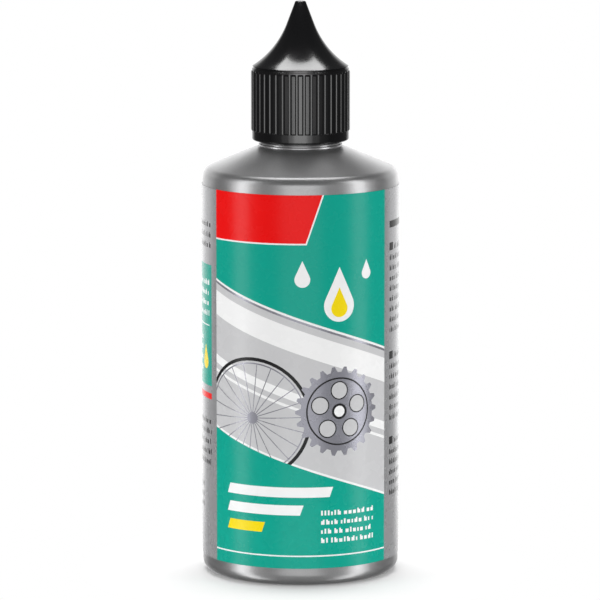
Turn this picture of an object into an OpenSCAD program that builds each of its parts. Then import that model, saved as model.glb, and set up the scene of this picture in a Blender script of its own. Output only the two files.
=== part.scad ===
// Round squeeze bottle of bicycle chain lubricant. A blown bottle carries a
// wraparound film label and a dropper insert pressed in its neck. A ribbed screw
// cap covers the nozzle with its hollow cone, and the filling stands inside.
// Millimetres, +Z up, origin in the middle of the standing ring, label front at -Y.

/* [Bottle] */
// Outer diameter of the blown wall under the label
body_d = 42.72; // [41.5:0.02:46]
// Height where the neck leaves the shoulder
shoulder_top = 93.6; // [80:0.05:110]
// Slope of the shoulder above the horizontal, in degrees
shoulder_slope = 23; // [16:1:30]
// Radius of the shoulder's outer edge
shoulder_edge_r = 2.2; // [1:0.1:3]
// Inset of the bare shoulder from the wall under the label
shoulder_inset = 0.2; // [0:0.02:0.3]
// Radius of the base's outer edge
base_edge_r = 2.7; // [1.6:0.1:3]
// Width of the flat ring that the bottle stands on
ring_w = 2.4; // [1.6:0.1:3.5]
// Height of the dome pushed up in the base
pushup_h = 1.8; // [1.2:0.1:3]
// Thickness of the blown wall
wall_t = 1; // [0.7:0.05:1.2]
// Thickness of the base
floor_t = 1.2; // [0.9:0.05:1.6]
// Length of the pinched seam across the base
pinch_l = 25; // [15:0.5:27]

/* [Neck] */
// Outer diameter of the plain neck under the cap
neck_d = 17.76; // [17.4:0.02:18.1]
// Height from the shoulder to the plain neck's top
neck_h = 2.4; // [1.8:0.1:3.4]
// Outer diameter of the bead round the neck
bead_d = 18.08; // [17.9:0.02:18.3]
// Diameter at the root of the neck's thread
finish_d = 15.8; // [15.4:0.1:16.4]
// Height from the shoulder to the lip
finish_h = 15.2; // [14:0.05:17]
// Diameter of the bore in the neck
bore_d = 13.2; // [12.6:0.1:13.6]

/* [Cap] */
// Diameter of the cap's wall between the ribs
cap_d = 21; // [20.6:0.02:21.6]
// Diameter over the ribs
rib_d = 21.42; // [21.1:0.02:22.2]
// Number of ribs
rib_count = 44; // [24:1:52]
// Width of a rib's crest
rib_w = 0.68; // [0.4:0.02:0.7]
// Radius of the hollow flutes between the ribs
flute_r = 0.5; // [0.4:0.05:0.5]
// Height of the plain band under the ribs
band_h = 2.1; // [1.5:0.1:4]
// Radius of the band's lower edge
band_edge_r = 0.45; // [0.3:0.05:0.8]
// Gap between the shoulder's top and the cap
cap_gap = 1.15; // [1:0.05:1.6]
// Height of the skirt up to the cone's edge
skirt_h = 16.1; // [15.5:0.05:18]
// Diameter of the bore in the skirt
cap_bore_d = 18.5; // [18.4:0.02:18.8]
// Diameter of the cone's edge
cone_d = 20.8; // [20.4:0.02:20.9]
// Slope of the cone's edge from the axis, in degrees
cone_edge_angle = 57; // [50:1:60]
// Slope of the cone's tip from the axis, in degrees
cone_tip_angle = 21; // [18:1:24]
// Radius of the hollow curve between them
cone_curve_r = 19; // [16:0.5:20]
// Height of the cone from its edge to its tip
cone_h = 14.1; // [13.6:0.1:14.8]
// Thickness of the cone's wall
cone_wall = 1; // [0.8:0.05:1.1]

/* [Dropper] */
// Diameter of the dropper's flange
flange_d = 15.8; // [15:0.1:16.4]
// Thickness of the flange
flange_t = 0.9; // [0.6:0.05:1]
// Length of the skirt pressed in the bore
plug_l = 9; // [6:0.5:11]
// Thickness of the dropper's wall
plug_wall = 0.8; // [0.6:0.05:0.9]
// Interference of the skirt in the bore, on the radius
press = 0.05; // [0.02:0.01:0.1]
// Diameter of the outlet
outlet_d = 0.8; // [0.7:0.1:1]
// Diameter of the pin in the cap that closes the outlet
pin_d = 0.5; // [0.4:0.05:0.5]
// Space left between the dropper's nozzle and the cap's cone
play = 0.3; // [0.2:0.05:0.4]

/* [Label] */
// Height of the label's lower edge
label_z = 4.1; // [3.5:0.1:8]
// Height of the label
label_h = 81.2; // [60:0.1:82]
// Thickness of the film with its glue
label_t = 0.14; // [0.08:0.02:0.3]
// Width of the bare gap where the label's ends meet
label_gap = 2; // [1:0.5:6]
// Radius of the label's corners
label_corner_r = 2; // [1:0.5:4]

/* [Filling] */
// Height of the filling's surface
fill_z = 79; // [40:0.5:82]

/* [Hidden] */

arc_step = 5;
overlap = 0.2;

body_r = body_d / 2;
shoulder_r = body_r - shoulder_inset;
neck_r = neck_d / 2;
bore_r = bore_d / 2;
lip_z = shoulder_top + finish_h;
lip_edge = 0.3;

// Base: the ring's inner edge turns up by ring_turn degrees and runs into the dome.
ring_turn = 55;
ring_edge_r = 1;
dome_edge_r = 1.4;
ring_out_r = body_r - base_edge_r;
ring_in_r = ring_out_r - ring_w;
dome_rise = (ring_edge_r + dome_edge_r) * (1 - cos(ring_turn));
dome_r = ring_in_r - (ring_edge_r + dome_edge_r) * sin(ring_turn);
pinch_w = 0.7;
pinch_h = 0.4;

// Cap heights, and the centre of the cone's hollow curve.
cap_z = shoulder_top + cap_gap;
rib_z = cap_z + band_h;
cone_z = cap_z + skirt_h;
cone_r = cone_d / 2;
curve_x = cone_r + cone_curve_r * cos(cone_edge_angle);
curve_z = cone_z + cone_curve_r * sin(cone_edge_angle);
tip_z = cone_z + cone_h;
tip_edge_r = 0.45;
groove_r = cone_r - 0.22;
groove_h = 0.35;
ledge_z = cone_z - 0.5;
rib_top_z = ledge_z - 0.15;
rib_chamfer = 0.35;
flute_steps = 3;
seat_gap = 0.02;
seat_z = lip_z + flange_t + seat_gap;
seat_r = flange_d / 2 - 1;
cavity_tip_z = tip_z - 2.9;

outlet_z = cavity_tip_z - 0.5;
pin_l = 1.3;

// Inside of the bottle, whose wall is a little thicker at the shoulder.
fill_r = body_r - wall_t;
roof_t = 1.2;
roof_edge_r = 1.2;

// Points of an arc about (x, z), from angle a0 to a1.
function arc(x, z, r, a0, a1) =
    let (n = max(2, ceil(abs(a1 - a0) / arc_step)))
    [for (i = [0:n]) let (a = a0 + (a1 - a0) * i / n) [x + r * cos(a), z + r * sin(a)]];

// Underside of the dome, or the floor above it when raised by h.
function dome_z(r, h) = h + dome_rise + (pushup_h - dome_rise) * (1 - pow(r / dome_r, 2));
function dome_line(h) = [for (i = [0:6]) let (r = dome_r * i / 6) [r, dome_z(r, h)]];

// Radius of the cone's outer face moved inwards by d, at angle a of its curve.
function cone_at(d, a) = [
    curve_x - (cone_curve_r + d) * cos(a),
    curve_z - (cone_curve_r + d) * sin(a)
];

// Radius of the straight tip moved inwards by d, at height z.
function tip_r(d, z) =
    let (p = cone_at(d, cone_tip_angle))
    p[0] - (z - p[1]) * tan(cone_tip_angle);

// The cone's face moved inwards by d, from radius r up to height z.
function cone_line(d, r, z) =
    let (a0 = acos((curve_x - r) / (cone_curve_r + d)))
    let (n = ceil((a0 - cone_tip_angle) / 3))
    concat(
        [for (i = [0:n]) cone_at(d, a0 + (cone_tip_angle - a0) * i / n)],
        [[tip_r(d, z), z]]
    );

// The inside of the base from the axis to the wall.
function floor_line() = concat(
    dome_line(floor_t),
    [[ring_in_r, floor_t], [ring_out_r - wall_t / 2, floor_t]],
    arc(fill_r - base_edge_r, floor_t + base_edge_r, base_edge_r, -60, 0)
);

// The outside of the base from the axis to the wall.
function base_line() = concat(
    dome_line(0),
    arc(dome_r, dome_rise - dome_edge_r, dome_edge_r, 90, 90 - ring_turn),
    arc(ring_in_r, ring_edge_r, ring_edge_r, 270 - ring_turn, 270),
    arc(ring_out_r, base_edge_r, base_edge_r, -90, 0)
);

// The shoulder's outside, from the wall's edge to the foot of the neck.
function shoulder_line() =
    let (foot_r = neck_r + 0.4)
    let (corner_z = shoulder_top - (shoulder_r - neck_r) * tan(shoulder_slope))
    let (edge_z = corner_z - shoulder_edge_r * tan((90 - shoulder_slope) / 2))
    concat(
        [[body_r, edge_z - 1.2]],
        arc(shoulder_r - shoulder_edge_r, edge_z, shoulder_edge_r, 0, 90 - shoulder_slope),
        [[foot_r, shoulder_top - 0.4 * tan(shoulder_slope)], [neck_r + 0.1, shoulder_top]]
    );

// One fine bead round the neck, with its middle at height z.
function bead(z) =
    let (r = bead_d / 2)
    [[neck_r, z - 0.2], [r - 0.03, z - 0.12], [r, z], [r - 0.03, z + 0.12], [neck_r, z + 0.2]];

// The neck's outside, from its foot to the lip: two fine beads under the plain neck.
function neck_line() =
    concat(
        bead(shoulder_top + 0.22),
        bead(shoulder_top + 0.66),
        [[neck_r, shoulder_top + neck_h]],
        [[finish_d / 2, shoulder_top + neck_h + 0.8], [finish_d / 2, lip_z - lip_edge]],
        [[finish_d / 2 - lip_edge, lip_z], [bore_r + lip_edge, lip_z], [bore_r, lip_z - lip_edge]]
    );

// The inside of the neck and shoulder, from the bore down to the wall.
function bore_line() =
    let (roof_z = shoulder_top - roof_t / cos(shoulder_slope))
    let (slope = tan(shoulder_slope))
    let (corner_z = roof_z - (fill_r - neck_r) * slope)
    let (edge_z = corner_z - roof_edge_r * tan((90 - shoulder_slope) / 2))
    concat(
        [[bore_r, roof_z + (neck_r - bore_r) * slope]],
        arc(fill_r - roof_edge_r, edge_z, roof_edge_r, 90 - shoulder_slope, 0)
    );

function reverse(list) = [for (i = [len(list) - 1:-1:0]) list[i]];

module bottle() {
    color([0.66, 0.66, 0.67]) {
        rotate_extrude()
            polygon(concat(
                base_line(), shoulder_line(), neck_line(), bore_line(), reverse(floor_line())
            ));
        intersection() {
            translate([-pinch_l / 2, -pinch_w / 2, 0])
                cube([pinch_l, pinch_w, pushup_h + overlap]);
            rotate_extrude()
                polygon(concat(dome_line(-pinch_h), reverse(dome_line(overlap))));
        }
    }
}

module label() {
    color([0, 0.66, 0.56])
        difference() {
            translate([0, 0, label_z])
                cylinder(h = label_h, r = body_r + label_t);
            translate([0, 0, label_z - 1])
                cylinder(h = label_h + 2, r = body_r);
            label_opening();
        }
}

// The bare strip at the back, which widens at both ends round the label's corners.
module label_opening() {
    r = label_corner_r;
    w = label_gap / 2;
    top = label_z + label_h;
    side = concat(
        [[w + r, label_z - 1], [w + r, label_z]],
        reverse(arc(w + r, label_z + r, r, 180, 270)),
        arc(w + r, top - r, r, 180, 90),
        [[w + r, top + 1]]
    );
    translate([0, body_r + 3, 0])
        rotate([90, 0, 0])
            linear_extrude(6)
                polygon(concat(side, reverse([for (p = side) [-p[0], p[1]]])));
}

// Dropper: a skirt for the bore, a flange on the lip and a nozzle under the cap's cone.
module dropper_plug() {
    skirt_r = bore_r + press;
    inner_r = bore_r - plug_wall;
    nozzle_r = seat_r - play;
    outer_d = cone_wall + play;
    inner_d = outer_d + plug_wall;
    inlet_z = lip_z - plug_l;
    neck_in = 0.6;
    outside = concat(
        [[inner_r, inlet_z], [bore_r - 0.3, inlet_z], [skirt_r, inlet_z + 1.2], [skirt_r, lip_z]],
        [[flange_d / 2, lip_z], [flange_d / 2, lip_z + flange_t - 0.2]],
        [[flange_d / 2 - 0.2, lip_z + flange_t], [nozzle_r, lip_z + flange_t]],
        cone_line(outer_d, nozzle_r, outlet_z - 0.2),
        [[tip_r(outer_d, outlet_z) - 0.2, outlet_z]]
    );
    outlet_r = outlet_d / 2;
    bore_end = curve_z - (cone_curve_r + inner_d) * sin(cone_tip_angle);
    bore_end_r = tip_r(inner_d, bore_end);
    throat_z = bore_end + (bore_end_r - outlet_r) / tan(cone_tip_angle);
    inside = concat(
        [[outlet_r, outlet_z], [outlet_r, throat_z]],
        reverse(cone_line(inner_d, nozzle_r - plug_wall, bore_end + 0.05))
    );
    color([0.88, 0.88, 0.86])
        rotate_extrude()
            polygon(concat(outside, inside, [[inner_r, lip_z - neck_in]]));
}

// Cap: a thin shell of revolution with ribs, and a pin that closes the outlet.
module cap() {
    color([0.09, 0.09, 0.09]) {
        rotate_extrude()
            polygon(concat(cap_outside(), cap_inside()));
        cap_ribs();
    }
}

function cap_outside() =
    let (r = cap_d / 2)
    concat(
        arc(r - band_edge_r, cap_z + band_edge_r, band_edge_r, -90, 0),
        [[r, ledge_z - 0.1], [r - 0.1, ledge_z], [groove_r, ledge_z]],
        [[groove_r, ledge_z + groove_h], [cone_r, cone_z]],
        cone_line(0, cone_r, tip_z - tip_edge_r),
        arc(tip_r(0, tip_z - tip_edge_r) - tip_edge_r, tip_z - tip_edge_r, tip_edge_r, 0, 90),
        [[0, tip_z]]
    );

function cap_inside() =
    let (mouth_r = cap_bore_d / 2)
    let (mouth = 0.3)
    concat(
        [[0, cavity_tip_z - pin_l], [pin_d / 2, cavity_tip_z - pin_l], [pin_d / 2, cavity_tip_z]],
        reverse(cone_line(cone_wall, seat_r, cavity_tip_z)),
        [[seat_r, seat_z], [mouth_r, seat_z], [mouth_r, cap_z + mouth], [mouth_r + mouth, cap_z]]
    );

// One rib's outline: a flat crest between two hollow flutes, starting inside the wall.
function rib_outline() =
    let (root = cap_d / 2 - overlap)
    let (h = (rib_d - cap_d) / 2)
    let (edge_a = acos(1 - h / flute_r))
    let (middle = rib_w / 2 + flute_r * sin(edge_a))
    let (flank = [
        for (i = [1:flute_steps]) let (a = edge_a * i / flute_steps)
            [cap_d / 2 + flute_r * (1 - cos(a)), middle - flute_r * sin(a)]
    ])
    let (half = concat([[root, flank[0][1]]], flank))
    concat(half, reverse([for (p = half) [p[0], -p[1]]]));

module cap_ribs() {
    root = cap_d / 2 - overlap;
    foot = cap_d / 2;
    intersection() {
        for (i = [0:rib_count - 1])
            rotate([0, 0, -90 + i * 360 / rib_count])
                translate([0, 0, rib_z])
                    linear_extrude(rib_top_z - rib_z)
                        polygon(rib_outline());
        rotate_extrude()
            polygon([
                [root - 0.5, rib_z], [rib_d / 2 - 0.1, rib_z], [rib_d / 2 + 0.1, rib_z + 0.2],
                [rib_d / 2 + 0.1, rib_top_z - rib_chamfer - 0.1], [foot, rib_top_z],
                [root - 0.5, rib_top_z]
            ]);
    }
}

module lubricant() {
    color([0.75, 0.62, 0.25])
        rotate_extrude()
            polygon(concat(floor_line(), [[fill_r, fill_z], [0, fill_z]]));
}

bottle();
label();
dropper_plug();
cap();
lubricant();
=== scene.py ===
"""Bottle of bicycle chain lubricant: finishes, printed film, threads, light and camera."""

import math
import random

import bmesh
import bpy
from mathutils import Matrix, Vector


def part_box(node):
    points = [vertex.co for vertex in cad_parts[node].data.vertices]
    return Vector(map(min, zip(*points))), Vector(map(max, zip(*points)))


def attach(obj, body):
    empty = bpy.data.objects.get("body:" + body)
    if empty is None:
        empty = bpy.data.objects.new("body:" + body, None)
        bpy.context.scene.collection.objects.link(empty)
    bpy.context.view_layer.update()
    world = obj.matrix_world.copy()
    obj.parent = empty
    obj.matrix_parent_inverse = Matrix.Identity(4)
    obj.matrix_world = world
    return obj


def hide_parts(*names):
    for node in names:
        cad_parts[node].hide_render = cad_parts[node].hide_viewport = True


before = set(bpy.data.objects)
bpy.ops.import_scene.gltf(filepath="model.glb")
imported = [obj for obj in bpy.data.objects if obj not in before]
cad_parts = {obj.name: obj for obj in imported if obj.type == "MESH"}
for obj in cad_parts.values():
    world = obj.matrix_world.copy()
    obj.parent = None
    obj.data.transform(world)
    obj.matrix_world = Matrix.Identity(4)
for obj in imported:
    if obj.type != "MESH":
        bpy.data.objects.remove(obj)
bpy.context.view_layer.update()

MM = 0.001
CONTAINER = "container"
CLOSURE = "closure"

# Bottle, in millimetres. Heights come from the frame where a node ends at them.
BODY_R = 21.36
LIP_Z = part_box("bottle")[1].z / MM
SHOULDER_TOP = 93.6
SHOULDER_SLOPE = 23
SHOULDER_EDGE_R = 2.2
SHOULDER_INSET = 0.2
BASE_EDGE_R = 2.7
RING_W = 2.4
RING_TURN = 55
RING_EDGE_R = 1
DOME_EDGE_R = 1.4
PUSHUP_H = 1.8
WALL_T = 1
FLOOR_T = 1.2
ROOF_T = 1.2
ROOF_EDGE_R = 1.2
NECK_R = 8.88
NECK_H = 2.4
BEAD_R = 9.04
FINISH_R = 7.9
BORE_R = 6.6
LIP_EDGE_R = 0.3
PINCH_L = 25
PINCH_W = 0.7
PINCH_H = 0.4

# Cap, in millimetres
CAP_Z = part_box("cap")[0].z / MM
TIP_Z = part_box("cap")[1].z / MM
CAP_R = 10.5
RIB_COUNT = 44
RIB_H = 0.21
RIB_W = 0.68
FLUTE_R = 0.42
BAND_H = 2.1
BAND_EDGE_R = 0.45
SKIRT_H = 16.1
CAP_BORE_R = 9.25
CONE_R = 10.4
CONE_EDGE_ANGLE = 57
CONE_TIP_ANGLE = 21
CONE_CURVE_R = 19
CONE_WALL = 1
TIP_EDGE_R = 0.45
GROOVE_DEPTH = 0.22
GROOVE_H = 0.35
LEDGE_DROP = 0.5
RIB_STOP = 0.4
PIN_R = 0.25
PIN_L = 1.3
CAVITY_DROP = 2.9
SEAT_GAP = 0.02
PLAY = 0.3
CONE_Z = CAP_Z + SKIRT_H
LEDGE_Z = CONE_Z - LEDGE_DROP
RIB_Z = CAP_Z + BAND_H
RIB_TOP_Z = LEDGE_Z - RIB_STOP
CURVE_X = CONE_R + CONE_CURVE_R * math.cos(math.radians(CONE_EDGE_ANGLE))
CURVE_Z = CONE_Z + CONE_CURVE_R * math.sin(math.radians(CONE_EDGE_ANGLE))
CAVITY_Z = TIP_Z - CAVITY_DROP

# Threads of neck and cap, in millimetres
THREAD_PITCH = 3.2
THREAD_TURNS = 2.4
NECK_CREST_R = 8.72
CAP_CREST_R = 8.86

# Dropper, in millimetres
FLANGE_R = 7.9
FLANGE_T = 0.9
PLUG_L = 9
PLUG_WALL = 0.8
PRESS = 0.05
OUTLET_R = 0.4
OUTLET_Z = CAVITY_Z - 0.5
SEAT_R = FLANGE_R - 1
SEAT_Z = LIP_Z + FLANGE_T + SEAT_GAP

# Label, in millimetres. U runs round the wall from the front's middle, V up from the lower edge.
LABEL_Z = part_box("label")[0].z / MM
LABEL_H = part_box("label")[1].z / MM - LABEL_Z
LABEL_T = 0.14
LABEL_R = BODY_R + LABEL_T
LABEL_GAP = 2
LABEL_CORNER_R = 2
LABEL_L = math.tau * LABEL_R - LABEL_GAP
LABEL_STRIPS = 356
STRIP_W = LABEL_L / LABEL_STRIPS
FRONT_W = 43.2

# Floor, in metres. The shadow shows in full up to the near radius and is gone at the far one.
FLOOR_R = 0.06
SHADOW_NEAR = 0.014
SHADOW_FAR = 0.05


def shade(bm, limit=32):
    """Smooth faces, with edges sharper than the limit kept crisp."""
    for face in bm.faces:
        face.smooth = True
    for edge in bm.edges:
        edge.smooth = len(edge.link_faces) == 2 and edge.calc_face_angle(0) < math.radians(limit)


def piece(name, bm, body, materials, nodes=()):
    """Makes the finished piece from its mesh in millimetres, and sets it on its body."""
    bmesh.ops.scale(bm, vec=(MM, MM, MM), verts=bm.verts)
    shade(bm)
    mesh = bpy.data.meshes.new(name)
    bm.to_mesh(mesh)
    bm.free()
    for material in materials:
        mesh.materials.append(material)
    obj = bpy.data.objects.new(name, mesh)
    bpy.context.scene.collection.objects.link(obj)
    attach(obj, body)
    if nodes:
        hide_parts(*nodes)
    return obj


# Outlines, as lists of (radius, height)
def arc(x, z, r, start, end, step=4):
    """Points of an arc about (x, z), from one angle to another."""
    count = max(2, math.ceil(abs(end - start) / step))
    angles = [math.radians(start + (end - start) * i / count) for i in range(count + 1)]
    return [(x + r * math.cos(a), z + r * math.sin(a)) for a in angles]


def tan(degrees):
    return math.tan(math.radians(degrees))


def dome_line(height):
    """Underside of the pushed-up base, or the floor above it."""
    edge = RING_EDGE_R + DOME_EDGE_R
    rise = edge * (1 - math.cos(math.radians(RING_TURN)))
    dome_r = BODY_R - BASE_EDGE_R - RING_W - edge * math.sin(math.radians(RING_TURN))
    steps = 12
    radii = [dome_r * i / steps for i in range(steps + 1)]
    return [(r, height + rise + (PUSHUP_H - rise) * (1 - (r / dome_r) ** 2)) for r in radii]


def base_line():
    ring_out = BODY_R - BASE_EDGE_R
    ring_in = ring_out - RING_W
    dome = dome_line(0)
    dome_r, rise = dome[-1]
    return (
        dome[:-1]
        + arc(dome_r, rise - DOME_EDGE_R, DOME_EDGE_R, 90, 90 - RING_TURN)
        + arc(ring_in, RING_EDGE_R, RING_EDGE_R, 270 - RING_TURN, 270)
        + arc(ring_out, BASE_EDGE_R, BASE_EDGE_R, -90, 0)
    )


def shoulder_line():
    shoulder_r = BODY_R - SHOULDER_INSET
    corner_z = SHOULDER_TOP - (shoulder_r - NECK_R) * tan(SHOULDER_SLOPE)
    edge_z = corner_z - SHOULDER_EDGE_R * tan((90 - SHOULDER_SLOPE) / 2)
    foot = [(0.4, -0.4 * tan(SHOULDER_SLOPE)), (0.25, -0.09)]
    return (
        [(BODY_R, edge_z - 1.6), (BODY_R - SHOULDER_INSET / 2, edge_z - 0.7)]
        + arc(shoulder_r - SHOULDER_EDGE_R, edge_z, SHOULDER_EDGE_R, 0, 90 - SHOULDER_SLOPE, 3)
        + [(NECK_R + r, SHOULDER_TOP + z) for r, z in foot]
    )


def bead(low, high, out_r):
    """A fine bead round the neck between two heights, and the groove above it."""
    edge_r, groove_r = 0.12, NECK_R - 0.4
    inner_r = out_r - edge_r
    return (
        arc(inner_r, SHOULDER_TOP + low + edge_r, edge_r, -70, 0, 14)
        + arc(inner_r, SHOULDER_TOP + high - edge_r, edge_r, 0, 84, 14)
        + [(groove_r, SHOULDER_TOP + high + 0.04), (groove_r, SHOULDER_TOP + high + 0.2)]
    )


def neck_line():
    half = FINISH_R + (NECK_R - FINISH_R) / 2
    return (
        bead(-0.14, 0.34, BEAD_R + 0.05)
        + bead(0.62, 0.86, BEAD_R)
        + arc(NECK_R - 0.25, SHOULDER_TOP + NECK_H - 0.1, 0.25, 0, 40, 10)
        + [(half, SHOULDER_TOP + NECK_H + 0.4), (FINISH_R, SHOULDER_TOP + NECK_H + 0.8)]
        + arc(FINISH_R - LIP_EDGE_R, LIP_Z - LIP_EDGE_R, LIP_EDGE_R, 0, 90, 15)
        + arc(BORE_R + LIP_EDGE_R, LIP_Z - LIP_EDGE_R, LIP_EDGE_R, 90, 180, 15)
    )


def inside_line():
    """The inside from the bore down to the floor's middle."""
    fill_r = BODY_R - WALL_T
    roof_z = SHOULDER_TOP - ROOF_T / math.cos(math.radians(SHOULDER_SLOPE))
    corner_z = roof_z - (fill_r - NECK_R) * tan(SHOULDER_SLOPE)
    edge_z = corner_z - ROOF_EDGE_R * tan((90 - SHOULDER_SLOPE) / 2)
    ring_out = BODY_R - BASE_EDGE_R
    return (
        [(BORE_R, roof_z + (NECK_R - BORE_R) * tan(SHOULDER_SLOPE))]
        + arc(fill_r - ROOF_EDGE_R, edge_z, ROOF_EDGE_R, 90 - SHOULDER_SLOPE, 0)
        + arc(fill_r - BASE_EDGE_R, FLOOR_T + BASE_EDGE_R, BASE_EDGE_R, 0, -60)
        + [(ring_out - WALL_T / 2, FLOOR_T), (ring_out - RING_W, FLOOR_T)]
        + list(reversed(dome_line(FLOOR_T)))
    )


def cone_line(inset, start_r, end_z, step=2.5):
    """The cone's face moved inwards by the inset, from a radius up to a height."""
    radius = CONE_CURVE_R + inset
    start = math.degrees(math.acos((CURVE_X - start_r) / radius))
    curve = arc(CURVE_X, CURVE_Z, -radius, start, CONE_TIP_ANGLE, step)
    end_r = curve[-1][0] - (end_z - curve[-1][1]) * tan(CONE_TIP_ANGLE)
    return curve + [(end_r, end_z)]


def cap_line():
    """The cap's whole outline, from the tip's middle down the outside and up the inside."""
    cone = list(reversed(cone_line(0, CONE_R, TIP_Z - TIP_EDGE_R)))
    tip_r = cone[0][0]
    fade = rib_fade()
    wall = [(CAP_R, z) for z, _ in reversed(fade)]
    mouth = 0.3
    outside = (
        [(0, TIP_Z), (tip_r * 0.4, TIP_Z)]
        + arc(tip_r - TIP_EDGE_R, TIP_Z - TIP_EDGE_R, TIP_EDGE_R, 90, 12, 13)
        + cone[:-1]
        + [(CONE_R - 0.05, CONE_Z + 0.03), (CONE_R - 0.01, CONE_Z - 0.01), (CONE_R - 0.04, CONE_Z - 0.05)]
        + [(CONE_R - GROOVE_DEPTH, LEDGE_Z + GROOVE_H), (CONE_R - GROOVE_DEPTH, LEDGE_Z)]
        + [(CAP_R - 0.07, LEDGE_Z), (CAP_R, LEDGE_Z - 0.07)]
        + wall
        + arc(CAP_R - BAND_EDGE_R, CAP_Z + BAND_EDGE_R, BAND_EDGE_R, 0, -90, 10)
    )
    inside = (
        [(CAP_BORE_R + mouth, CAP_Z), (CAP_BORE_R, CAP_Z + mouth), (CAP_BORE_R, SEAT_Z)]
        + [(SEAT_R, SEAT_Z)]
        + cone_line(CONE_WALL, SEAT_R, CAVITY_Z)
        + [(PIN_R, CAVITY_Z), (PIN_R, CAVITY_Z - PIN_L + 0.1), (PIN_R - 0.1, CAVITY_Z - PIN_L)]
        + [(0, CAVITY_Z - PIN_L)]
    )
    return outside + inside


def rib_fade():
    """Heights along a rib, and how far it stands out there."""
    foot = [(-0.06, 0), (0, 0), (0.05, 0.55), (0.14, 0.9), (0.3, 1)]
    head = [(0.42, 1), (0.28, 0.85), (0.14, 0.5), (0.03, 0.1), (0, 0), (-0.06, 0)]
    return [(RIB_Z + z, h) for z, h in foot] + [(RIB_TOP_Z - z, h) for z, h in head]


def dropper_line():
    skirt_r = BORE_R + PRESS
    inner_r = BORE_R - PLUG_WALL
    nozzle_r = SEAT_R - PLAY
    inlet_z = LIP_Z - PLUG_L
    flange_z = LIP_Z + FLANGE_T
    outer = CONE_WALL + PLAY
    outside = cone_line(outer, nozzle_r, OUTLET_Z - 0.22)
    inside = cone_line(outer + PLUG_WALL, nozzle_r - PLUG_WALL, OUTLET_Z - 2)
    tip_r = outside[-1][0]
    throat_z = inside[-1][1] + (inside[-1][0] - OUTLET_R) / tan(CONE_TIP_ANGLE)
    return (
        [(inner_r, inlet_z), (BORE_R - 0.3, inlet_z), (skirt_r, inlet_z + 1.2), (skirt_r, LIP_Z)]
        + [(FLANGE_R, LIP_Z)]
        + arc(FLANGE_R - 0.2, flange_z - 0.2, 0.2, 0, 90, 18)
        + [(nozzle_r + 0.25, flange_z), (nozzle_r, flange_z + 0.25)]
        + outside
        + arc(tip_r - 0.22, OUTLET_Z - 0.22, 0.22, 20, 90, 18)
        + [(OUTLET_R + 0.06, OUTLET_Z), (OUTLET_R, OUTLET_Z - 0.06), (OUTLET_R, throat_z)]
        + list(reversed(inside[:-1]))
    )


# Meshes
def turned(outline, steps, closed=False):
    """Turns an outline once round the axis."""
    bm = bmesh.new()
    verts = [bm.verts.new((r, 0, z)) for r, z in outline]
    ends = zip(verts, verts[1:] + verts[:1]) if closed else zip(verts, verts[1:])
    edges = [bm.edges.new(pair) for pair in ends]
    bmesh.ops.spin(
        bm, geom=verts + edges, cent=(0, 0, 0), axis=(0, 0, 1), angle=math.tau,
        steps=steps, use_merge=True, use_normal_flip=False, use_duplicate=False,
    )
    bmesh.ops.remove_doubles(bm, verts=bm.verts, dist=1e-5)
    bmesh.ops.recalc_face_normals(bm, faces=bm.faces)
    return bm


def rib_columns():
    """Distance round the wall from a rib's middle, and how far the rib stands out there."""
    edge = math.acos(1 - RIB_H / FLUTE_R)
    middle = RIB_W / 2 + FLUTE_R * math.sin(edge)
    turns = [math.radians(a) for a in (55, 44, 33, 22, 11, 0)]
    flute = [(middle - FLUTE_R * math.sin(a), FLUTE_R * (1 - math.cos(a)) / RIB_H) for a in turns]
    half = [(RIB_W / 2, 1)] + flute
    gap = math.pi * CAP_R / RIB_COUNT
    return [(-gap, 0)] + [(-w, h) for w, h in reversed(half)] + [(0, 1)] + half


def cap_mesh():
    columns = rib_columns()
    per_turn = len(columns) * RIB_COUNT
    bm = turned(cap_line(), per_turn)
    fade = rib_fade()
    pitch = math.tau / RIB_COUNT
    for vert in bm.verts:
        radius = vert.co.xy.length
        if radius < 1e-4:
            continue
        index = round(math.atan2(vert.co.y, vert.co.x) / math.tau * per_turn) % per_turn
        rib, column = divmod(index, len(columns))
        offset, height = columns[column]
        angle = -math.pi / 2 + rib * pitch + offset / CAP_R
        if radius > CAP_R - 1e-3:
            along = [h for z, h in fade if abs(vert.co.z - z) < 1e-3]
            radius += RIB_H * height * (along[0] if along else 0)
        vert.co.xy = radius * math.cos(angle), radius * math.sin(angle)
    bmesh.ops.recalc_face_normals(bm, faces=bm.faces)
    return bm


def thread_mesh(root_r, crest_r, start_z, turns, pitch, width):
    """A helical ridge whose ends run out into the wall."""
    steps_per_turn = 72
    steps = round(turns * steps_per_turn)
    sunk = 0.15 if crest_r > root_r else -0.15
    bm = bmesh.new()
    outline = [
        (root_r - sunk, -width / 2), (crest_r, -width * 0.16),
        (crest_r, width * 0.16), (root_r - sunk, width / 2),
    ]
    verts = [bm.verts.new((r, 0, start_z + z)) for r, z in outline]
    edges = [bm.edges.new(pair) for pair in zip(verts, verts[1:] + verts[:1])]
    bmesh.ops.spin(
        bm, geom=verts + edges, cent=(0, 0, 0), axis=(0, 0, 1), angle=math.tau * turns,
        dvec=(0, 0, pitch / steps_per_turn), steps=steps,
        use_merge=False, use_normal_flip=False, use_duplicate=False,
    )
    bm.verts.ensure_lookup_table()
    runout = 10
    for index, vert in enumerate(bm.verts):
        ring = index // len(outline)
        near = min(ring, steps - ring)
        radius = vert.co.xy.length
        if near < runout and abs(radius - crest_r) < 1e-3:
            share = math.sin(math.pi / 2 * near / runout)
            new = root_r - sunk / 2 + (crest_r - root_r + sunk / 2) * share
            vert.co.xy = vert.co.xy * (new / radius)
    open_edges = [edge for edge in bm.edges if len(edge.link_faces) == 1]
    bmesh.ops.holes_fill(bm, edges=open_edges, sides=4)
    bmesh.ops.recalc_face_normals(bm, faces=bm.faces)
    return bm


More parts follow.
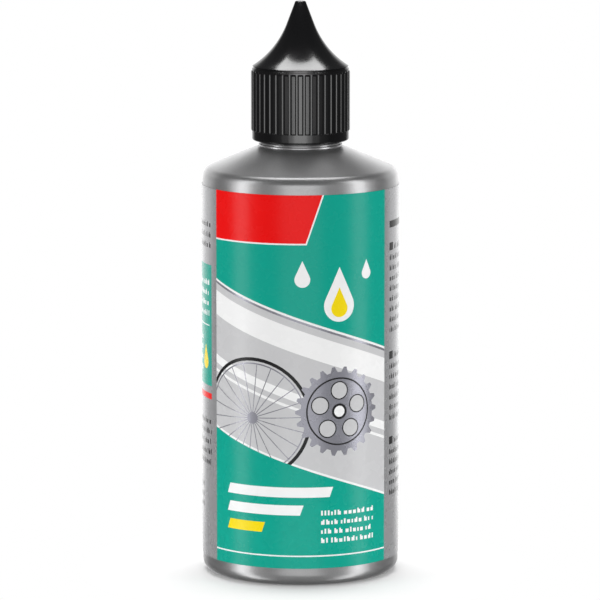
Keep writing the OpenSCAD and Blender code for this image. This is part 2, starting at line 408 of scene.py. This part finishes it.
def ridge_mesh():
    """The pinched seam across the underside of the base."""
    bm = bmesh.new()
    bmesh.ops.create_cube(bm, size=1)
    bmesh.ops.scale(bm, vec=(PINCH_L, PINCH_W, 1), verts=bm.verts)
    long_edges = [e for e in bm.edges if abs(e.verts[0].co.x - e.verts[1].co.x) > 1]
    bmesh.ops.subdivide_edges(bm, edges=long_edges, cuts=24)
    dome_r, rise = dome_line(0)[-1]
    sunk = 0.1
    for vert in bm.verts:
        dome_z = rise + (PUSHUP_H - rise) * (1 - (vert.co.xy.length / dome_r) ** 2)
        vert.co.z = dome_z + (sunk if vert.co.z > 0 else -PINCH_H)
    return bm


def joined(*meshes):
    """Puts separate closed shells in one mesh."""
    whole = bmesh.new()
    for bm in meshes:
        part = bpy.data.meshes.new("part")
        bm.to_mesh(part)
        bm.free()
        whole.from_mesh(part)
        bpy.data.meshes.remove(part)
    return whole


# Printed film. The flat film is cut along each printed shape, and the faces inside take its ink.
INKS = ["silver", "teal", "white", "red", "yellow", "steel", "pale", "dark"]
SILVER, TEAL, WHITE, RED, YELLOW, STEEL, PALE, DARK = range(len(INKS))


def cut(bm, faces, point, outward):
    """Cuts the faces along a line and gives those on its inner side, and those on its outer side."""
    point, outward = Vector((*point, 0)), Vector((*outward, 0)).normalized()
    crossed, inner, outer = [], [], []
    for face in faces:
        sides = [(vert.co - point).dot(outward) for vert in face.verts]
        if max(sides) < 1e-5:
            inner.append(face)
        elif min(sides) > -1e-5:
            outer.append(face)
        else:
            crossed.append(face)
    geom = set(crossed)
    for face in crossed:
        geom.update(face.edges)
        geom.update(face.verts)
    found = bmesh.ops.bisect_plane(
        bm, geom=list(geom), dist=1e-5, plane_co=point, plane_no=outward
    )["geom"]
    for face in found:
        if isinstance(face, bmesh.types.BMFace):
            side = (face.calc_center_median() - point).dot(outward)
            (inner if side < 0 else outer).append(face)
    return inner, outer


def inside(bm, faces, outline):
    """Cuts the faces along a convex outline and gives those inside it."""
    area = sum(a[0] * b[1] - b[0] * a[1] for a, b in zip(outline, outline[1:] + outline[:1]))
    if area < 0:
        outline = list(reversed(outline))
    for a, b in zip(outline, outline[1:] + outline[:1]):
        faces, _ = cut(bm, faces, a, (b[1] - a[1], a[0] - b[0]))
    return faces


def in_reach(bm, outline, over):
    """Faces whose box meets the outline's box, and whose ink may be printed over."""
    low = [min(p[i] for p in outline) for i in (0, 1)]
    high = [max(p[i] for p in outline) for i in (0, 1)]
    found = []
    for face in bm.faces:
        if not low[0] - STRIP_W < face.verts[0].co.x < high[0] + STRIP_W:
            continue
        if over is None or face.material_index in over:
            vs = [vert.co.y for vert in face.verts]
            if min(vs) < high[1] and max(vs) > low[1]:
                found.append(face)
    return found


def ink(bm, outline, colour, over=None):
    """Prints a convex shape, over the given inks alone where they are named."""
    for face in inside(bm, in_reach(bm, outline, over), outline):
        face.material_index = colour


def rect(u, v, w, h):
    return [(u, v), (u + w, v), (u + w, v + h), (u, v + h)]


def disc(u, v, r, sides=36):
    turns = [math.tau * i / sides for i in range(sides)]
    return [(u + r * math.cos(a), v + r * math.sin(a)) for a in turns]


def drop(bm, u, v, r, colour, over=None):
    """An oil drop: a disc, and a pointed top whose flanks touch it."""
    height = 2.4
    touch = math.asin(1 / height)
    side, up = r * math.cos(touch), r * math.sin(touch)
    ink(bm, [(u - side, v + up), (u + side, v + up), (u, v + height * r)], colour, over)
    ink(bm, disc(u, v, r), colour, over)


def chainring(bm, u, v, r, teeth, over):
    """A toothed ring with round windows and a hub."""
    tooth_h = 1.15
    pitch = math.tau / teeth
    for i in range(teeth):
        a = i * pitch
        corners = [
            (r * 0.96, a - pitch * 0.4), (r + tooth_h, a - pitch * 0.12),
            (r + tooth_h, a + pitch * 0.12), (r * 0.96, a + pitch * 0.4),
        ]
        ink(bm, [(u + q * math.cos(t), v + q * math.sin(t)) for q, t in corners], STEEL, over)
    ink(bm, disc(u, v, r, 60), STEEL, over)
    ink(bm, disc(u, v, r * 0.86, 60), DARK, over + [STEEL])
    ink(bm, disc(u, v, r * 0.82, 60), STEEL, [DARK])
    windows = 5
    for i in range(windows):
        a = math.tau * (i + 0.25) / windows
        place = u + r * 0.53 * math.cos(a), v + r * 0.53 * math.sin(a)
        ink(bm, disc(*place, r * 0.235), DARK, [STEEL])
        ink(bm, disc(*place, r * 0.205), PALE, [DARK])
    ink(bm, disc(u, v, r * 0.2), DARK, [STEEL])
    ink(bm, disc(u, v, r * 0.14), WHITE, [DARK])


def spoked_wheel(bm, u, v, r, over):
    """A thin tyre, rim and spokes, printed as short straight pieces."""
    sides = 56
    for out, width, colour in ((r, 0.75, DARK), (r - 1.15, 0.3, STEEL)):
        for i in range(sides):
            a, b = math.tau * i / sides, math.tau * (i + 1) / sides
            corners = [(out, a), (out, b), (out - width, b), (out - width, a)]
            ink(bm, [(u + q * math.cos(t), v + q * math.sin(t)) for q, t in corners], colour, over)
    spokes, spoke_w = 22, 0.1
    for i in range(spokes):
        a = math.tau * i / spokes + 0.05
        along, across = (math.cos(a), math.sin(a)), (-math.sin(a) * spoke_w, math.cos(a) * spoke_w)
        ends = [(1.2, 1), (r - 1.4, 1), (r - 1.4, -1), (1.2, -1)]
        ink(bm, [(u + q * along[0] + k * across[0], v + q * along[1] + k * across[1]) for q, k in ends],
            STEEL, over)
    ink(bm, disc(u, v, 1.3, 24), STEEL, over)


def slanted(u, v, w, h, lean=0.35):
    return [(u, v), (u + w, v), (u + w + lean * h, v + h), (u + lean * h, v + h)]


def front_print(bm):
    """Teal panel with a slanted silver ribbon, drops that fall to a chainring, and plain stripes."""
    half = FRONT_W / 2
    ink(bm, rect(-half, -1, FRONT_W, LABEL_H + 2), TEAL)
    left, right, width = 61, 46, 31

    def ribbon(top, bottom):
        return [(-half, left - top), (half, right - top), (half, right - bottom), (-half, left - bottom)]

    line = 0.5
    ink(bm, ribbon(-2 * line, width + line), WHITE, [TEAL])
    ink(bm, ribbon(-line, 0), STEEL, [WHITE])
    ink(bm, ribbon(0, width), PALE, [WHITE])
    for start, end in ((0.05, 0.22), (0.5, 0.56), (0.6, 0.62)):
        ink(bm, ribbon(width * start, width * end), WHITE, [PALE])
    ring_u = 8.6
    ring_v = (left + right) / 2 - ring_u / FRONT_W * (left - right) - width / 2 - 0.8
    spoked_wheel(bm, -10.8, ring_v - 1.6, 13.2, [PALE, WHITE])
    chainring(bm, ring_u, ring_v, 8.6, 22, [PALE, WHITE, DARK, STEEL])
    for u, v, r in ((8.6, 57.2, 3.5), (0.4, 63, 1.7), (15.4, 63.8, 1.25)):
        drop(bm, u, v, r, WHITE, [TEAL])
    drop(bm, 8.6, 56.6, 1.9, YELLOW, [WHITE])
    block_v, block_w, edge = 70.8, 26.7, 0.32
    ink(bm, slanted(-half - 4, block_v - edge, block_w + 0.7 * edge, 12), WHITE, [TEAL])
    ink(bm, slanted(-half - 4, block_v, block_w, 12), RED, [WHITE])
    for i, (w, colour) in enumerate(((24, WHITE), (17.5, WHITE), (9, YELLOW))):
        ink(bm, slanted(-17.6, 15.6 - 3.9 * i, w, 2.2), colour, [TEAL])
    small_print(bm, 4.4, 13.6, 13.2, 4, WHITE, TEAL, 2, 0.9)
    ink(bm, rect(-half, 2.6, FRONT_W, 0.3), WHITE, [TEAL])


def word_marks(chance):
    """Heights of a row's marks, strip by strip: none, low or tall."""
    row = []
    while len(row) < LABEL_STRIPS:
        for _ in range(chance.randint(2, 7)):
            row += chance.choice(((1,), (2,), (1, 1), (2, 1), (1, 2))) + (0,)
        row.append(0)
    return row


def small_print(bm, u, v_top, width, rows, colour=DARK, over=SILVER, pitch=2.25, size=1):
    """Rows of fine marks set like words, which spell nothing."""
    chance = random.Random(round(u * 10 + v_top))
    for row in range(rows):
        base = v_top - (row + 1) * pitch
        marks = word_marks(chance)
        faces = in_reach(bm, rect(u, base, width, 1.2 * size), [over])
        faces, _ = cut(bm, faces, (u, base), (0, -1))
        faces, _ = cut(bm, faces, (u, base + 1.2 * size), (0, 1))
        low, tall = cut(bm, faces, (u, base + 0.85 * size), (0, 1))
        for level, part in ((1, low), (2, tall)):
            for face in part:
                place = face.calc_center_median().x
                if u < place < u + width and marks[int((place - u) / STRIP_W)] >= level:
                    face.material_index = colour


def side_print(bm):
    """Silver sides with a column of small print each, and a teal panel of their own on the left."""
    near, column = FRONT_W / 2 + 2.2, 17.2
    ink(bm, rect(near, 72.6, column * 0.7, 1.5), DARK, [SILVER])
    for v, rows in ((70, 9), (46.2, 7), (27.4, 6)):
        ink(bm, rect(near, v - 2.35, 2, 1.7), DARK, [SILVER])
        small_print(bm, near + 2.8, v, column - 2.8, 1)
        small_print(bm, near, v - 2.25, column, rows - 1)
    panel_u = -near - column
    small_print(bm, panel_u, 74.9, column, 3)
    ink(bm, rect(panel_u, 37.9, column, 26.5), TEAL, [SILVER])
    small_print(bm, panel_u + 1.2, 62.2, column - 2.4, 4, WHITE, TEAL)
    ink(bm, rect(panel_u + 1.2, 51, column - 2.4, 0.25), WHITE, [TEAL])
    drop(bm, panel_u + column - 3.4, 43, 1.6, YELLOW, [TEAL])
    small_print(bm, panel_u + 1.2, 49.8, column - 7.4, 4, WHITE, TEAL)
    ink(bm, rect(panel_u, 35, column, 1.3), RED, [SILVER])
    small_print(bm, panel_u, 31.8, column, 5)
    small_print(bm, panel_u, 17.4, column * 0.7, 3)


def print_film(bm):
    front_print(bm)
    side_print(bm)


def keep_corners_round(bm):
    """Cuts the film to its outline with round corners."""
    w = LABEL_L / 2 - LABEL_CORNER_R
    low, high = LABEL_CORNER_R, LABEL_H - LABEL_CORNER_R
    corners = [(w, low, -90), (w, high, 0), (-w, high, 90), (-w, low, 180)]
    outline = [p for u, v, a in corners for p in arc(u, v, LABEL_CORNER_R, a, a + 90, 10)]
    kept = set(inside(bm, list(bm.faces), outline))
    bmesh.ops.delete(bm, geom=[f for f in bm.faces if f not in kept], context="FACES")


def label_mesh():
    """The flat film, printed, then wrapped round the wall and given its thickness."""
    bm = bmesh.new()
    bmesh.ops.create_grid(bm, x_segments=LABEL_STRIPS, y_segments=1, size=0.5)
    bmesh.ops.scale(bm, vec=(LABEL_L, LABEL_H, 1), verts=bm.verts)
    bmesh.ops.translate(bm, vec=(0, LABEL_H / 2, 0), verts=bm.verts)
    print_film(bm)
    keep_corners_round(bm)
    for vert in bm.verts:
        turn = vert.co.x / LABEL_R
        vert.co = LABEL_R * math.sin(turn), -LABEL_R * math.cos(turn), LABEL_Z + vert.co.y
    bm.normal_update()
    bmesh.ops.solidify(bm, geom=bm.faces, thickness=LABEL_T)
    return bm


# Materials
class Finish:
    """A plain principled material, and the detail that its maker adds to it."""

    def __init__(self, name, colour, **values):
        self.material = bpy.data.materials.new(name)
        self.material.use_nodes = True
        self.nodes = self.material.node_tree.nodes
        self.links = self.material.node_tree.links
        self.shader = self.nodes["Principled BSDF"]
        self.shader.inputs["Base Color"].default_value = (*colour, 1)
        for socket, value in values.items():
            self.shader.inputs[socket.replace("_", " ")].default_value = value
        self.place = self.nodes.new("ShaderNodeTexCoord").outputs["Object"]

    def noise(self, grain, detail=2, stretch=(1, 1, 1)):
        """Noise whose grain is a length in millimetres."""
        mapping = self.nodes.new("ShaderNodeMapping")
        mapping.inputs["Scale"].default_value = stretch
        self.links.new(self.place, mapping.inputs["Vector"])
        noise = self.nodes.new("ShaderNodeTexNoise")
        noise.inputs["Scale"].default_value = 1 / (grain * MM)
        noise.inputs["Detail"].default_value = detail
        self.links.new(mapping.outputs["Vector"], noise.inputs["Vector"])
        return noise.outputs["Fac"]

    def ranged(self, value, low, high):
        spread = self.nodes.new("ShaderNodeMapRange")
        spread.inputs["From Min"].default_value = 0.3
        spread.inputs["From Max"].default_value = 0.7
        spread.inputs["To Min"].default_value = low
        spread.inputs["To Max"].default_value = high
        self.links.new(value, spread.inputs["Value"])
        return spread.outputs["Result"]

    def roughness(self, value, low, high):
        self.links.new(self.ranged(value, low, high), self.shader.inputs["Roughness"])

    def relief(self, value, depth, strength=1):
        """Bump of a depth in millimetres."""
        bump = self.nodes.new("ShaderNodeBump")
        bump.inputs["Distance"].default_value = depth * MM
        bump.inputs["Strength"].default_value = strength
        self.links.new(value, bump.inputs["Height"])
        self.links.new(bump.outputs["Normal"], self.shader.inputs["Normal"])

    def tones(self, value, dark, light):
        mix = self.nodes.new("ShaderNodeMix")
        mix.data_type = "RGBA"
        mix.inputs["A"].default_value = (*dark, 1)
        mix.inputs["B"].default_value = (*light, 1)
        self.links.new(self.ranged(value, 0, 1), mix.inputs["Factor"])
        self.links.new(mix.outputs["Result"], self.shader.inputs["Base Color"])


def silver_plastic():
    """Blown polyethylene with metal flake: satin, with a faint flow of the pigment."""
    finish = Finish("silver_plastic", (0.4, 0.4, 0.405), Metallic=0.85, Roughness=0.33)
    finish.roughness(finish.noise(7, 3), 0.3, 0.36)
    finish.tones(finish.noise(0.22, 1), (0.38, 0.38, 0.385), (0.43, 0.43, 0.435))
    finish.relief(finish.noise(1.6, 3, (1, 1, 0.25)), 0.004)
    return finish.material


def printed(name, colour, metallic=0.0):
    """Ink under a satin laminate, with the film's fine orange peel."""
    finish = Finish(f"ink_{name}", colour, Metallic=metallic, Specular_IOR_Level=0.2)
    finish.roughness(finish.noise(3, 3), 0.25, 0.29)
    finish.relief(finish.noise(0.9, 2), 0.002)
    return finish.material


def inks():
    colours = {
        "silver": (0.42, 0.42, 0.43), "teal": (0.0002, 0.335, 0.25), "white": (0.84, 0.84, 0.84),
        "red": (0.8, 0.0005, 0.0005), "yellow": (0.86, 0.66, 0.002), "steel": (0.3, 0.3, 0.34),
        "pale": (0.54, 0.54, 0.55), "dark": (0.015, 0.015, 0.016),
    }
    metallic = {"silver": 0.5, "steel": 0.5}
    return [printed(name, colours[name], metallic.get(name, 0)) for name in INKS]


def black_plastic():
    """Moulded polypropylene: deep black and glossy, with faint flow and a trace of handling."""
    finish = Finish("black_plastic", (0.004, 0.004, 0.0045), Roughness=0.16, IOR=1.52)
    finish.roughness(finish.noise(2.5, 4), 0.14, 0.2)
    finish.relief(finish.noise(1.1, 2), 0.003)
    return finish.material


def natural_plastic():
    """Soft clear-milky polyethylene of the dropper."""
    finish = Finish(
        "natural_plastic", (0.86, 0.87, 0.85), IOR=1.51,
        Transmission_Weight=0.35, Subsurface_Weight=0.3, Subsurface_Scale=0.002,
    )
    finish.shader.inputs["Subsurface Radius"].default_value = (1, 1, 0.9)
    finish.roughness(finish.noise(1.5, 2), 0.28, 0.38)
    finish.relief(finish.noise(0.8, 2), 0.004)
    return finish.material


def amber_oil():
    """Clear amber filling with a faint drift in its colour."""
    finish = Finish("amber_oil", (0.78, 0.58, 0.16), IOR=1.47, Transmission_Weight=1)
    finish.roughness(finish.noise(12, 1), 0.01, 0.03)
    finish.tones(finish.noise(15, 2), (0.75, 0.54, 0.13), (0.82, 0.64, 0.2))
    return finish.material


# Pieces
def make_bottle():
    bm = joined(turned(bottle_line(), 192), ridge_mesh())
    return piece("blown_bottle", bm, CONTAINER, [silver_plastic()], ["bottle"])


def bottle_line():
    return base_line() + shoulder_line() + neck_line() + inside_line()


def make_neck_thread():
    start_z = SHOULDER_TOP + NECK_H + 2.3
    bm = thread_mesh(FINISH_R, NECK_CREST_R, start_z, THREAD_TURNS, THREAD_PITCH, 1.5)
    return piece("neck_thread", bm, CONTAINER, [bpy.data.materials["silver_plastic"]])


def make_cap():
    return piece("ribbed_cap", cap_mesh(), CLOSURE, [black_plastic()], ["cap"])


def make_cap_thread():
    start_z = CAP_Z + 2.6
    bm = thread_mesh(CAP_BORE_R, CAP_CREST_R, start_z, THREAD_TURNS, THREAD_PITCH, 1.3)
    return piece("cap_thread", bm, CLOSURE, [bpy.data.materials["black_plastic"]])


def make_dropper():
    bm = turned(dropper_line(), 96, closed=True)
    return piece(
        "nozzle_insert", bm, CONTAINER, [natural_plastic()], ["dropper_plug"]
    )


def make_label():
    return piece("wrap_label", label_mesh(), CONTAINER, inks(), ["label"])


def finish_filling():
    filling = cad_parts["lubricant"]
    filling.data.materials.clear()
    filling.data.materials.append(amber_oil())
    return filling


# Stage, in metres
def seen_by_eye(nodes, links):
    """One for camera, glossy and transmission rays, and nought for the rays that light things."""
    path = nodes.new("ShaderNodeLightPath")
    value = path.outputs["Is Camera Ray"]
    for other in ("Is Glossy Ray", "Is Transmission Ray"):
        most = nodes.new("ShaderNodeMath")
        most.operation = "MAXIMUM"
        links.new(value, most.inputs[0])
        links.new(path.outputs[other], most.inputs[1])
        value = most.outputs["Value"]
    return value


def make_world(light, room, front):
    """White to the eye. Reflections find the white sweep behind, a dim room and its front wall."""
    world = bpy.data.worlds.new("studio")
    bpy.context.scene.world = world
    world.use_nodes = True
    nodes, links = world.node_tree.nodes, world.node_tree.links
    path = nodes.new("ShaderNodeLightPath")
    coord = nodes.new("ShaderNodeTexCoord")
    axes = nodes.new("ShaderNodeSeparateXYZ")
    links.new(coord.outputs["Generated"], axes.inputs["Vector"])

    def fade(axis, start, end, low, high):
        step = nodes.new("ShaderNodeMapRange")
        step.interpolation_type = "SMOOTHSTEP"
        step.inputs["From Min"].default_value = start
        step.inputs["From Max"].default_value = end
        for socket, limit in (("To Min", low), ("To Max", high)):
            if isinstance(limit, float | int):
                step.inputs[socket].default_value = limit
            else:
                links.new(limit, step.inputs[socket])
        links.new(axes.outputs[axis], step.inputs["Value"])
        return step.outputs["Result"]

    wall = fade("Y", -0.6, -0.2, front, room)
    across = fade("Y", 0.75, 0.95, wall, 1)
    sweep = fade("Z", 0.16, 0.5, across, room)

    def chosen(ray, plain, seen):
        mix = nodes.new("ShaderNodeMix")
        links.new(path.outputs[ray], mix.inputs["Factor"])
        for socket, value in (("A", plain), ("B", seen)):
            if isinstance(value, float | int):
                mix.inputs[socket].default_value = value
            else:
                links.new(value, mix.inputs[socket])
        return mix.outputs["Result"]

    level = chosen("Is Glossy Ray", light, sweep)
    level = chosen("Is Transmission Ray", level, 1)
    level = chosen("Is Camera Ray", level, 1)
    nodes["Background"].inputs["Color"].default_value = (1, 1, 1, 1)
    links.new(level, nodes["Background"].inputs["Strength"])


def floor_material(near, far):
    """Pale board that takes the shadow close by and runs into the white beyond."""
    material = bpy.data.materials.new("pale_board")
    material.use_nodes = True
    nodes, links = material.node_tree.nodes, material.node_tree.links
    shader = nodes["Principled BSDF"]
    shader.inputs["Base Color"].default_value = (0.9, 0.9, 0.9, 1)
    shader.inputs["Roughness"].default_value = 0.9
    shader.inputs["Specular IOR Level"].default_value = 0.1
    coord = nodes.new("ShaderNodeTexCoord")
    length = nodes.new("ShaderNodeVectorMath")
    length.operation = "LENGTH"
    links.new(coord.outputs["Object"], length.inputs[0])
    fade = nodes.new("ShaderNodeMapRange")
    fade.interpolation_type = "SMOOTHSTEP"
    fade.inputs["From Min"].default_value = near
    fade.inputs["From Max"].default_value = far
    links.new(length.outputs["Value"], fade.inputs["Value"])
    share = nodes.new("ShaderNodeMath")
    share.operation = "MULTIPLY"
    links.new(fade.outputs["Result"], share.inputs[0])
    links.new(seen_by_eye(nodes, links), share.inputs[1])
    white = nodes.new("ShaderNodeEmission")
    mix = nodes.new("ShaderNodeMixShader")
    links.new(share.outputs["Value"], mix.inputs["Fac"])
    links.new(shader.outputs["BSDF"], mix.inputs[1])
    links.new(white.outputs["Emission"], mix.inputs[2])
    links.new(mix.outputs["Shader"], nodes["Material Output"].inputs["Surface"])
    return material


def make_floor():
    bm = bmesh.new()
    bmesh.ops.create_circle(bm, cap_ends=True, segments=96, radius=FLOOR_R)
    mesh = bpy.data.meshes.new("floor")
    bm.to_mesh(mesh)
    bm.free()
    mesh.materials.append(floor_material(SHADOW_NEAR, SHADOW_FAR))
    floor = bpy.data.objects.new("floor", mesh)
    bpy.context.scene.collection.objects.link(floor)
    floor.visible_glossy = False
    floor.visible_shadow = False
    return floor


def softbox(name, place, aim, width, height, level):
    """A rectangular lamp whose face is as bright as the level, where 1 is white."""
    lamp = bpy.data.lights.new(name, "AREA")
    lamp.shape = "RECTANGLE"
    lamp.size = width
    lamp.size_y = height
    lamp.energy = level * math.pi * width * height
    obj = bpy.data.objects.new(name, lamp)
    obj.location = place
    obj.rotation_euler = (Vector(aim) - Vector(place)).to_track_quat("-Z", "Y").to_euler()
    obj.visible_camera = False
    bpy.context.scene.collection.objects.link(obj)
    return obj


def lights_only(lamp, pieces):
    """Keeps a lamp's light to the given pieces, as flags do round a studio lamp."""
    lit = bpy.data.collections.new(f"{lamp.name}_lit")
    for obj in pieces:
        lit.objects.link(obj)
    lamp.light_linking.receiver_collection = lit


def make_lamps(cap, bottle, floor):
    """The black cap and the silver bottle each have their own softboxes, so that neither glares."""
    middle = (0, 0, 0.06)
    distance = 0.75
    for side in (-1, 1):
        turn = math.radians(side * 72)
        place = (distance * math.sin(turn), -distance * math.cos(turn), -0.3)
        across = (0, 0, place[2])
        strip = softbox(f"strip_{side + 2}", place, across, 0.25, 2, 3.1)
        lights_only(strip, bottle + floor)
    lights_only(softbox("front", (0, -1.4, 0.05), middle, 1.25, 0.9, 1.2), bottle + floor)
    lights_only(softbox("top", (0, 0.17, 0.86), (0, 0.17, 0), 0.7, 0.34, 2.7), bottle)
    lights_only(softbox("sweep", (0, 1, 0.28), (0, 0, 0.28), 3.1, 0.95, 0.85), bottle)
    for away, width, level in ((1.4, 0.8, 2.1), (1.43, 1.5, 1.35), (1.46, 3, 0.5)):
        lights_only(softbox("cap_front", (0, -away, 0.05), middle, width, 0.9, level), cap)
    lights_only(softbox("cap_top", (0, 0.2, 0.86), (0, 0.2, 0), 0.7, 0.34, 10.5), cap + floor)


def make_camera():
    camera = bpy.data.cameras.new("camera")
    camera.sensor_width = 36
    camera.lens = 306
    camera.clip_start = 0.01
    obj = bpy.data.objects.new("camera", camera)
    obj.location = (-0.0001, -1.1, 0.228)
    obj.rotation_euler = (math.radians(90 - 8.7101), 0, 0)
    bpy.context.scene.collection.objects.link(obj)
    bpy.context.scene.camera = obj


make_camera()
bottle = [make_bottle(), make_neck_thread(), make_label(), make_dropper(), finish_filling()]
cap = [make_cap(), make_cap_thread()]
make_world(light=0.5, room=0.09, front=0.25)
make_lamps(cap, bottle, [make_floor()])
bpy.context.scene.view_settings.view_transform = "Standard"
